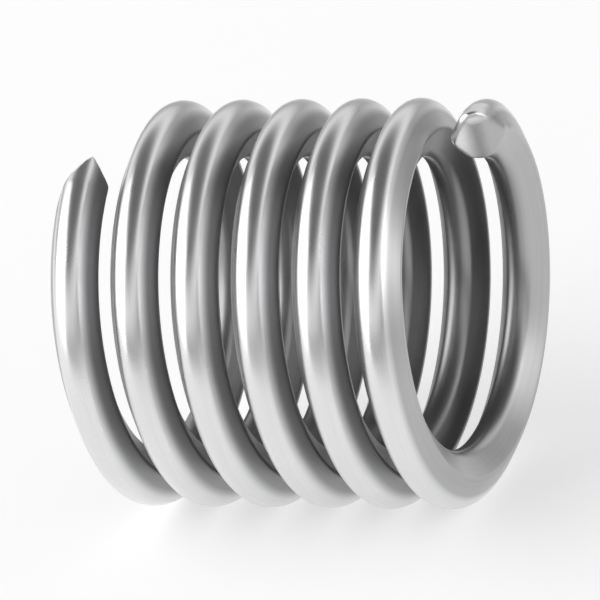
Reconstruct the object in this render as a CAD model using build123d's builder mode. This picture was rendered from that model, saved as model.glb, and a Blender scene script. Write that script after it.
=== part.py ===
"""Helical thread insert: one coil of rounded rhombic wire with a driving tang.

Millimetres. The coil's axis is X with the tang's end towards +X, Z is up, and the
coil lies on its side, rolled until its centre of mass is straight below the axis.
"""

import os
from math import cos, pi, radians, sin, tan

from build123d import *

# Wire. Its section is a rhombus: crests point in and out, side corners point along the coil.
thread_angle = 60.0  # between the two flanks of a crest
wire_width = 1.00  # over the side corners, along the coil's axis
wire_depth = 1.17  # over the crests, from the inner one to the outer one
side_radius = 0.12  # rounding of the side corners

# Coil, free, before it is wound into its hole.
outside_diameter = 8.17  # over the outer crests
turn_gap = 0.27  # between neighbouring turns
coil_turns = 5.855  # from the tang's bend to the tip's outboard snip, on the centre line

# Tang: the wire's end, curled in from the coil, cut square and then trimmed on a slant.
tang_start = 39.1  # degrees from the top of the coil to the bend
tang_radius = 2.17  # of the bend, on the centre line
tang_curl = 29.5  # degrees of bend
tang_straight = 0.56  # from the bend to the square end
tang_trim = 0.28  # from the bend to the slanted snip, on the centre line

# Tip: the other end, pinched off by two snips. Until then its wire runs on a little.
tip_blank = 0.12  # turns of wire before and after the outboard snip
inboard_ahead = 0.20  # from the outboard snip to the inboard one, on the centre line

# How each snip leans, as run along the wire over distance across it.
tang_lean = (-0.92, 0.51)  # back from the coil's body, and back towards the axis
outboard_lean = (1.73, 1.00)  # back towards the coil's end, and back away from the axis
inboard_lean = (-1.35, 0.04)  # back towards the next turn, and back away from the axis

pitch = wire_width + turn_gap
mean_radius = (outside_diameter - wire_depth) / 2
lead = pitch / (2 * pi)  # travel along the axis for one radian


def wire_frame(turns, ahead=0):
    """Plane across the wire, with x outboard, y away from the axis and z along the wire."""
    angle = radians(tang_start) + 2 * pi * turns
    away = Vector(0, sin(angle), cos(angle))
    along = Vector(-lead, mean_radius * cos(angle), -mean_radius * sin(angle)).normalized()
    centre = Vector(-lead * angle, 0, 0) + away * mean_radius + along * ahead
    return Plane(origin=centre, x_dir=away.cross(along), z_dir=along)


def wire_section(plane):
    """The rounded rhombus, with its stated width and depth over the rounded corners."""
    flank = radians(thread_angle / 2)
    half_width = wire_width / 2 + side_radius * (1 / cos(flank) - 1)
    half_depth = half_width / tan(flank)
    crest_radius = (half_depth - wire_depth / 2) / (1 / sin(flank) - 1)
    with BuildSketch(plane) as section:
        with BuildSketch(mode=Mode.PRIVATE) as rhombus:
            with BuildLine():
                Polyline(
                    (half_width, 0), (0, half_depth), (-half_width, 0), (0, -half_depth),
                    close=True,
                )
            make_face()
            fillet(rhombus.vertices().group_by(Axis.Y)[1], side_radius)
            fillet(rhombus.vertices().group_by(Axis.Y)[0], crest_radius)
            fillet(rhombus.vertices().group_by(Axis.Y)[-1], crest_radius)
        add(rhombus.sketch)
    return section.sketch


def coiled_wire(start, end):
    """Wire wound from one number of turns to another."""
    first = wire_frame(start)
    axis_point = first.origin - first.y_dir * mean_radius
    coil_axis = Plane(origin=axis_point, x_dir=first.y_dir, z_dir=(-1, 0, 0))
    turns = Helix(pitch, pitch * (end - start), mean_radius, mode=Mode.PRIVATE)
    with BuildPart() as run:
        with BuildLine():
            path = add(coil_axis.location * turns)
        sweep(wire_section(first), path=path, is_frenet=True)
    return run.part


def snip(frame, lean):
    """Plane that trims a wire's end on the frame given, leaning back both ways."""
    facing = frame.x_dir * lean[0] + frame.y_dir * lean[1] + frame.z_dir
    return Plane(origin=frame.origin, z_dir=facing)


bend = wire_frame(0)
bend_centre = bend.origin - bend.y_dir * tang_radius
curl = radians(tang_curl)
outward = bend.y_dir * cos(curl) - bend.z_dir * sin(curl)
heading = -bend.y_dir * sin(curl) - bend.z_dir * cos(curl)
tang_root = Plane(
    origin=bend_centre + outward * tang_radius, x_dir=bend.x_dir, z_dir=heading
)

with BuildPart() as tang:
    extrude(wire_section(tang_root), amount=tang_straight)
    revolve(
        wire_section(bend), axis=Axis(bend_centre, -bend.x_dir), revolution_arc=tang_curl
    )
    split(bisect_by=snip(tang_root.offset(tang_trim), tang_lean), keep=Keep.BOTTOM)

with BuildPart() as tip:
    add(coiled_wire(coil_turns - tip_blank, coil_turns + tip_blank))
    split(bisect_by=snip(wire_frame(coil_turns), outboard_lean), keep=Keep.BOTTOM)
    split(
        bisect_by=snip(wire_frame(coil_turns, inboard_ahead), inboard_lean),
        keep=Keep.BOTTOM,
    )

with BuildPart() as thread_insert:
    add(coiled_wire(0, coil_turns - tip_blank))
    add(tang.part)
    add(tip.part)

thread_insert.part.label = "thread_insert"
os.makedirs("parts", exist_ok=True)
export_step(thread_insert.part, "parts/thread_insert.step")
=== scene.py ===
"""Looks of a helical thread insert: one coil of bright drawn wire, lying on a pale studio floor."""

from math import cos, pi, radians, sin, tan

import bmesh
import bpy
from mathutils import Matrix, Vector


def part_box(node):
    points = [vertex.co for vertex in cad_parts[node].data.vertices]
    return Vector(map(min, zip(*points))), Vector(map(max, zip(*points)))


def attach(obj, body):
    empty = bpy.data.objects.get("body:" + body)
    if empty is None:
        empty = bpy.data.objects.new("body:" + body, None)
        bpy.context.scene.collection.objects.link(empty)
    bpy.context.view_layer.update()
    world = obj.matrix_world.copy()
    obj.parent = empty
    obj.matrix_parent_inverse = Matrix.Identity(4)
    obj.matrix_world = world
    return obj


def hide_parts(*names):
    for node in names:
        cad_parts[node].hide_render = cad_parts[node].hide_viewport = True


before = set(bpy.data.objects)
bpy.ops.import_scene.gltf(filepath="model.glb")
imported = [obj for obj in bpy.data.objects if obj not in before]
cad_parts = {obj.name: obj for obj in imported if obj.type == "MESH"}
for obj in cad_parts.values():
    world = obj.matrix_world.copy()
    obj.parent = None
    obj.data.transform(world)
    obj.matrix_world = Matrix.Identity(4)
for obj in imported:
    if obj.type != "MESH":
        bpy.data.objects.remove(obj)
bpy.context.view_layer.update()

# The insert is one length of stainless wire, drawn through a die to a rounded rhombic
# section and wound cold. One end is curled in for the mandrel and trimmed on a slant,
# and the other is pinched off by two snips.
MM = 0.001
thread_angle = radians(60)
wire_width = 1.00 * MM
wire_depth = 1.17 * MM
side_radius = 0.12 * MM
pitch = 1.27 * MM
mean_radius = 3.50 * MM
coil_turns = 5.855
tang_start = radians(39.1)
tang_radius = 2.17 * MM
tang_curl = radians(29.5)
tang_straight = 0.56 * MM
tang_trim = 0.28 * MM
tip_blank = 0.12
inboard_ahead = 0.20 * MM
tang_lean = (-0.92, 0.51)
outboard_lean = (1.73, 1.00)
inboard_lean = (-1.35, 0.04)
end_reach = 1.08 * MM
end_grain = 0.045 * MM
soft_reach = 1.0 * MM
blend_width = 0.4 * MM
tang_rounds = 120
tip_rounds = 30
weld = 0.0005 * MM
steps_per_turn = 120
lead = pitch / (2 * pi)


def across(x_dir, z_dir, origin):
    """Frame across the wire, with z along it."""
    placed = Matrix((x_dir, z_dir.cross(x_dir), z_dir)).transposed().to_4x4()
    placed.translation = origin
    return placed


def wire_frame(turns, ahead=0.0):
    """Frame across the wire, with x outboard, y away from the coil's axis and z along the wire."""
    angle = tang_start + 2 * pi * turns
    away = Vector((0, sin(angle), cos(angle)))
    along = Vector((-lead, mean_radius * cos(angle), -mean_radius * sin(angle))).normalized()
    centre = Vector((-lead * angle, 0, 0)) + away * mean_radius + along * ahead
    return across(away.cross(along).normalized(), along, centre)


def drawn_section(wire, place):
    """Ring of edges in the rounded rhombus of the die."""
    flank = thread_angle / 2
    half_width = wire_width / 2 + side_radius * (1 / cos(flank) - 1)
    crest_radius = (half_width / tan(flank) - wire_depth / 2) / (1 / sin(flank) - 1)
    crest_centre = Vector((0, wire_depth / 2 - crest_radius, 0))
    side_centre = Vector((wire_width / 2 - side_radius, 0, 0))
    crest = wire.verts.new((0, wire_depth / 2, 0))
    arc = bmesh.ops.spin(
        wire, geom=[crest], cent=crest_centre, axis=(0, 0, -1), angle=pi / 2 - flank, steps=8
    )
    shoulder = [v for v in arc["geom_last"] if isinstance(v, bmesh.types.BMVert)]
    side_start = side_centre + Vector((cos(flank), sin(flank), 0)) * side_radius
    for share in (0.5, 1.0):
        end = shoulder[0].co.lerp(side_start, share) if share < 1 else side_start
        moved = end - shoulder[0].co
        shoulder = bmesh.ops.extrude_vert_indiv(wire, verts=shoulder)["verts"]
        bmesh.ops.translate(wire, verts=shoulder, vec=moved)
    bmesh.ops.spin(wire, geom=shoulder, cent=side_centre, axis=(0, 0, -1), angle=flank, steps=4)
    for axis in ("X", "Y"):
        bmesh.ops.mirror(
            wire, geom=wire.verts[:] + wire.edges[:], matrix=Matrix(), merge_dist=weld,
            axis=axis,
        )
    bmesh.ops.remove_doubles(wire, verts=wire.verts[:], dist=weld)
    across_wire = wire.verts.layers.float_vector.new("across_wire")
    for vertex in wire.verts:
        vertex[across_wire] = vertex.co / MM
    bmesh.ops.transform(wire, matrix=place, verts=wire.verts[:])
    return wire.verts[:] + wire.edges[:]


def wind(wire, end, turns):
    """Winds the wire on from its end, round the coil's axis."""
    steps = round(steps_per_turn * turns)
    return bmesh.ops.spin(
        wire, geom=end, cent=(0, 0, 0), axis=(-1, 0, 0), angle=2 * pi * turns,
        dvec=(-pitch * turns / steps, 0, 0), steps=steps,
    )["geom_last"]


def only(kind, geometry):
    """The vertices, edges or faces in mixed geometry."""
    return [part for part in geometry if isinstance(part, kind)]


def trim(wire, point, facing, geometry):
    """Cuts off what lies beyond a plane and closes the cut with a flat face."""
    cut = bmesh.ops.bisect_plane(
        wire, geom=geometry, dist=1e-8, plane_co=point, plane_no=facing, clear_outer=True
    )
    bmesh.ops.edgeloop_fill(wire, edges=only(bmesh.types.BMEdge, cut["geom_cut"]))


def snip(wire, frame_there, lean):
    """Cuts the wire off on a slant; returns where the cut is and the way it faces."""
    point = frame_there.translation
    facing = (frame_there.to_3x3() @ Vector((lean[0], lean[1], 1))).normalized()
    trim(wire, point, facing, wire.verts[:] + wire.edges[:] + wire.faces[:])
    return point, facing


def round_over(wire, end, cuts, rounds):
    """Tumbled look for a cut end: a fine mesh there, smoothed near the cuts."""
    centre = end.translation.copy()

    def near():
        close = {v for v in wire.verts if (v.co - centre).length < end_reach}
        return (
            [v for v in wire.verts if v in close]
            + [e for e in wire.edges if close.issuperset(e.verts)]
            + [f for f in wire.faces if close.issuperset(f.verts)]
        )

    slices = round(end_reach / end_grain)
    for way in end.to_3x3().col:
        for step in range(-slices, slices + 1):
            bmesh.ops.bisect_plane(
                wire, geom=near(), dist=2 * weld, plane_no=way,
                plane_co=centre + way * (step * end_grain),
            )
    soft = [
        v for v in only(bmesh.types.BMVert, near())
        if (v.co - centre).length < soft_reach
        and min(abs((v.co - point).dot(facing)) for point, facing in cuts) < blend_width
    ]
    for _ in range(rounds):
        bmesh.ops.smooth_vert(
            wire, verts=soft, factor=0.5, use_axis_x=True, use_axis_y=True, use_axis_z=True
        )


def close_end(wire, end):
    """Square end face over the wire's last ring."""
    bmesh.ops.edgeloop_fill(wire, edges=only(bmesh.types.BMEdge, end))


def tang_end():
    """The curl, the short straight after it, its square end and the slanted trim."""
    wire = bmesh.new()
    bend = wire_frame(0)
    outboard, away, along = (bend.to_3x3().col[i].copy() for i in range(3))
    centre = bend.translation - away * tang_radius
    curled = bmesh.ops.spin(
        wire, geom=drawn_section(wire, bend), cent=centre, axis=-outboard, angle=tang_curl, steps=18
    )["geom_last"]
    heading = -away * sin(tang_curl) - along * cos(tang_curl)
    straight = bmesh.ops.spin(
        wire, geom=curled, cent=centre, axis=outboard, angle=0, dvec=heading * tang_straight / 4, steps=4
    )["geom_last"]
    close_end(wire, straight)
    elbow = centre + (away * cos(tang_curl) - along * sin(tang_curl)) * tang_radius
    trimmed = across(outboard, heading, elbow + heading * tang_trim)
    square = (elbow + heading * tang_straight, heading)
    round_over(wire, trimmed, [square, snip(wire, trimmed, tang_lean)], tang_rounds)
    return wire


def tip_end():
    """The last of the coil, pinched off by the outboard snip and then the inboard one."""
    wire = bmesh.new()
    ring = drawn_section(wire, wire_frame(coil_turns - tip_blank))
    close_end(wire, wind(wire, ring, 2 * tip_blank))
    end = wire_frame(coil_turns)
    cuts = [snip(wire, end, outboard_lean)]
    cuts.append(snip(wire, wire_frame(coil_turns, inboard_ahead), inboard_lean))
    round_over(wire, end, cuts, tip_rounds)
    return wire


def part_turn(turns, end_turns):
    """Some of the coil, wound from one number of turns to another."""
    wire = bmesh.new()
    wind(wire, drawn_section(wire, wire_frame(turns)), end_turns - turns)
    return wire


# One whole turn is wound and repeated along the axis, and the rest of the coil, the tang
# and the tip are joined on.
insert_mesh = bpy.data.meshes.new("insert_wire")
coil = part_turn(0, 1)
whole_turns = int(coil_turns - tip_blank)
first_turn = coil.verts[:] + coil.edges[:] + coil.faces[:]
for turn in range(1, whole_turns):
    copied = bmesh.ops.duplicate(coil, geom=first_turn)["geom"]
    bmesh.ops.translate(
        coil, verts=only(bmesh.types.BMVert, copied), vec=(-pitch * turn, 0, 0)
    )
for part in (part_turn(whole_turns, coil_turns - tip_blank), tang_end(), tip_end()):
    part.to_mesh(insert_mesh)
    coil.from_mesh(insert_mesh)
    part.free()
bmesh.ops.remove_doubles(coil, verts=coil.verts[:], dist=weld)
bmesh.ops.recalc_face_normals(coil, faces=coil.faces[:])
for face in coil.faces:
    face.smooth = True
coil.to_mesh(insert_mesh)
coil.free()
insert = bpy.data.objects.new("insert_wire", insert_mesh)
bpy.context.scene.collection.objects.link(insert)
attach(insert, "root")
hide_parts("thread_insert")

# Bright drawn stainless with fine die lines along the wire. Its colour holds painted light and shade:
# the crests are painted light and the flanks dark, and the crests are a touch glossier.
steel = bpy.data.materials.new("drawn_stainless")
steel.use_nodes = True
nodes, links = steel.node_tree.nodes, steel.node_tree.links
surface = nodes["Principled BSDF"]


def add(kind, **settings):
    """A node of the material at hand."""
    node = nodes.new(kind)
    for name, value in settings.items():
        setattr(node, name, value)
    return node


def remap(value, from_min, from_max, to_min, to_max):
    """Smooth step between two levels."""
    node = add("ShaderNodeMapRange", interpolation_type="SMOOTHSTEP")
    for socket, level in zip(("From Min", "From Max", "To Min", "To Max"),
                             (from_min, from_max, to_min, to_max)):
        node.inputs[socket].default_value = level
    links.new(value, node.inputs["Value"])
    return node.outputs["Result"]


def combine(operation, first, second):
    """Arithmetic on two values, the second of which may be a constant."""
    node = add("ShaderNodeMath", operation=operation)
    links.new(first, node.inputs[0])
    if isinstance(second, float):
        node.inputs[1].default_value = second
    else:
        links.new(second, node.inputs[1])
    return node.outputs["Value"]


section = add("ShaderNodeAttribute", attribute_name="across_wire")
section_axes = add("ShaderNodeSeparateXYZ")
links.new(section.outputs["Vector"], section_axes.inputs["Vector"])
place = add("ShaderNodeTexCoord")
place_axes = add("ShaderNodeSeparateXYZ")
links.new(place.outputs["Object"], place_axes.inputs["Vector"])

# Die lines: noise that is fine across the wire and drawn out along it.
line_place = add("ShaderNodeCombineXYZ")
links.new(combine("MULTIPLY", section_axes.outputs["X"], 26.0), line_place.inputs["X"])
links.new(combine("MULTIPLY", section_axes.outputs["Y"], 26.0), line_place.inputs["Y"])
links.new(combine("MULTIPLY", place_axes.outputs["Z"], 260.0), line_place.inputs["Z"])
lines = add("ShaderNodeTexNoise", noise_dimensions="4D")
links.new(line_place.outputs["Vector"], lines.inputs["Vector"])
links.new(combine("MULTIPLY", place_axes.outputs["Y"], 260.0), lines.inputs["W"])
lines.inputs["Scale"].default_value = 1.0
lines.inputs["Detail"].default_value = 3.0
lines.inputs["Roughness"].default_value = 0.55

# Handling marks: soft patches a millimetre or so across.
patches = add("ShaderNodeTexNoise")
links.new(place.outputs["Object"], patches.inputs["Vector"])
patches.inputs["Scale"].default_value = 900.0
patches.inputs["Detail"].default_value = 2.0

# Painted light and shade: outer crests painted light, flanks dark as painted shade between turns; less
# so the first turn's open side and the tang, painted lighter where no turn shades them.
crest = remap(section_axes.outputs["Y"], 0.22, 0.46, 0.0, 1.0)
middle = combine("MULTIPLY", place_axes.outputs["X"], -1000.0)
wound = combine("SUBTRACT", middle, section_axes.outputs["X"])
# Painted light on the first turn's open flank, where no neighbouring turn shades it.
outboard = combine(
    "MULTIPLY", remap(section_axes.outputs["X"], -0.25, -0.05, 1.0, 0.0),
    remap(wound, 1.36, 1.46, 0.35, 0.0),
)
# Painted light on one side of the tang and across its cut end.
tang_painted_light = combine(
    "MULTIPLY", remap(section_axes.outputs["X"], -0.05, 0.25, 0.0, 1.0),
    remap(wound, 0.06, 0.13, 1.0, 0.0),
)
painted_light_mask = combine("MAXIMUM", crest, combine("MAXIMUM", outboard, tang_painted_light))
streak = remap(lines.outputs["Fac"], 0.25, 0.75, 0.93, 1.0)
# Two levels of painted light and shade: dark flanks as painted shade, light crests and open sides as
# painted light.
lit_and_shaded_tone = add("ShaderNodeMix", data_type="RGBA")
links.new(painted_light_mask, lit_and_shaded_tone.inputs["Factor"])
lit_and_shaded_tone.inputs["A"].default_value = (0.34, 0.34, 0.345, 1)
lit_and_shaded_tone.inputs["B"].default_value = (0.82, 0.82, 0.825, 1)
shaded = add("ShaderNodeVectorMath", operation="SCALE")
links.new(lit_and_shaded_tone.outputs["Result"], shaded.inputs["Vector"])
links.new(streak, shaded.inputs["Scale"])
links.new(shaded.outputs["Vector"], surface.inputs["Base Color"])
surface.inputs["Metallic"].default_value = 1.0
wear = remap(patches.outputs["Fac"], 0.3, 0.7, -0.03, 0.03)
gloss = remap(painted_light_mask, 0.0, 1.0, 0.35, 0.30)
links.new(combine("ADD", gloss, wear), surface.inputs["Roughness"])
relief = add("ShaderNodeBump")
relief.inputs["Strength"].default_value = 0.25
relief.inputs["Distance"].default_value = 0.002 * MM
links.new(lines.outputs["Fac"], relief.inputs["Height"])
links.new(relief.outputs["Normal"], surface.inputs["Normal"])
insert_mesh.materials.append(steel)

# The floor is a wide white sheet that the coil lies on. Seen directly or in the metal it is
# lifted towards white, with a painted pool of light that dims a few centimetres away, and it keeps the
# coil's shadow.
floor_mesh = bpy.data.meshes.new("floor")
sheet = bmesh.new()
bmesh.ops.create_grid(sheet, x_segments=1, y_segments=1, size=2.0)
bmesh.ops.translate(sheet, verts=sheet.verts[:], vec=(0, 0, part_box("thread_insert")[0][2]))
sheet.to_mesh(floor_mesh)
sheet.free()
floor = bpy.data.objects.new("floor", floor_mesh)
bpy.context.scene.collection.objects.link(floor)
white = bpy.data.materials.new("white_floor")
white.use_nodes = True
nodes, links = white.node_tree.nodes, white.node_tree.links
matt = nodes["Principled BSDF"]
matt.inputs["Base Color"].default_value = (0.90, 0.90, 0.90, 1)
matt.inputs["Roughness"].default_value = 1.0
matt.inputs["Specular IOR Level"].default_value = 0.0
glow = add("ShaderNodeEmission")
glow.inputs["Strength"].default_value = 1.45
# Painted pool of light: the glow fades from white to grey away from the coil.
from_painted_pool = add("ShaderNodeVectorMath", operation="DISTANCE")
links.new(add("ShaderNodeTexCoord").outputs["Object"], from_painted_pool.inputs[0])
from_painted_pool.inputs[1].default_value = (-0.0200, 0.0040, -0.0041)
painted_pool_of_light = remap(from_painted_pool.outputs["Value"], 0.030, 0.060, 1.0, 0.30)
links.new(painted_pool_of_light, glow.inputs["Color"])
rays = add("ShaderNodeLightPath")
seen = combine("MAXIMUM", rays.outputs["Is Camera Ray"], rays.outputs["Is Glossy Ray"])
seen = combine("MAXIMUM", seen, rays.outputs["Is Transmission Ray"])
lift = add("ShaderNodeMixShader")
links.new(combine("MULTIPLY", seen, 0.38), lift.inputs["Fac"])
links.new(matt.outputs["BSDF"], lift.inputs[1])
links.new(glow.outputs["Emission"], lift.inputs[2])
links.new(lift.outputs["Shader"], nodes["Material Output"].inputs["Surface"])
floor_mesh.materials.append(white)

# Camera, looking down along the coil's near side and a little towards the tang's end.
lying = Matrix.Rotation(radians(-27.5), 3, "X")
aim = lying @ Vector((-3.503, -1.287, 0.065)) * MM
view_width = 11.88 * MM
round_from_side = radians(20.7)
toward = Vector((sin(round_from_side), -cos(round_from_side), 0))
camera_data = bpy.data.cameras.new("camera")
camera_data.lens = 400
camera_data.sensor_width = 36
camera = bpy.data.objects.new("camera", camera_data)
camera.location = aim + lying @ toward * (view_width * camera_data.lens / camera_data.sensor_width)
camera.rotation_mode = "QUATERNION"
camera.rotation_quaternion = lying.to_quaternion() @ (-toward).to_track_quat("-Z", "Y")
camera_data.clip_start = 0.01
camera_data.clip_end = 10
bpy.context.scene.collection.objects.link(camera)
bpy.context.scene.camera = camera
bpy.context.scene.view_settings.view_transform = "Standard"

# Studio light: a tall soft box at the left, in a room with pale walls and a dark ceiling.
world = bpy.data.worlds.new("studio")
bpy.context.scene.world = world
world.use_nodes = True
nodes, links = world.node_tree.nodes, world.node_tree.links
way = add("ShaderNodeTexCoord")
way_axes = add("ShaderNodeSeparateXYZ")
links.new(way.outputs["Generated"], way_axes.inputs["Vector"])
walls = combine(
    "MULTIPLY", remap(way_axes.outputs["Z"], 0.05, 0.36, 0.30, 1.0),
    remap(way_axes.outputs["Z"], 0.42, 0.80, 0.95, 0.14),
)
links.new(walls, nodes["Background"].inputs["Strength"])
nodes["Background"].inputs["Color"].default_value = (1, 1, 1, 1)
box_distance = 0.3


def soft_box(name, azimuth, elevation, width, height, watts):
    """Soft box aimed at the coil."""
    data = bpy.data.lights.new(name, "AREA")
    data.shape = "RECTANGLE"
    data.size, data.size_y = width, height
    data.energy = watts
    away = Vector((sin(azimuth) * cos(elevation), -cos(azimuth) * cos(elevation), sin(elevation)))
    box = bpy.data.objects.new(name, data)
    box.location = aim + away * box_distance
    box.rotation_mode = "QUATERNION"
    box.rotation_quaternion = (-away).to_track_quat("-Z", "Y")
    box.visible_camera = False
    bpy.context.scene.collection.objects.link(box)


soft_box("left_box", radians(-62), radians(34), 0.42, 0.42, 0.9)
soft_box("right_box", radians(104), radians(8), 0.12, 0.14, 0.08)
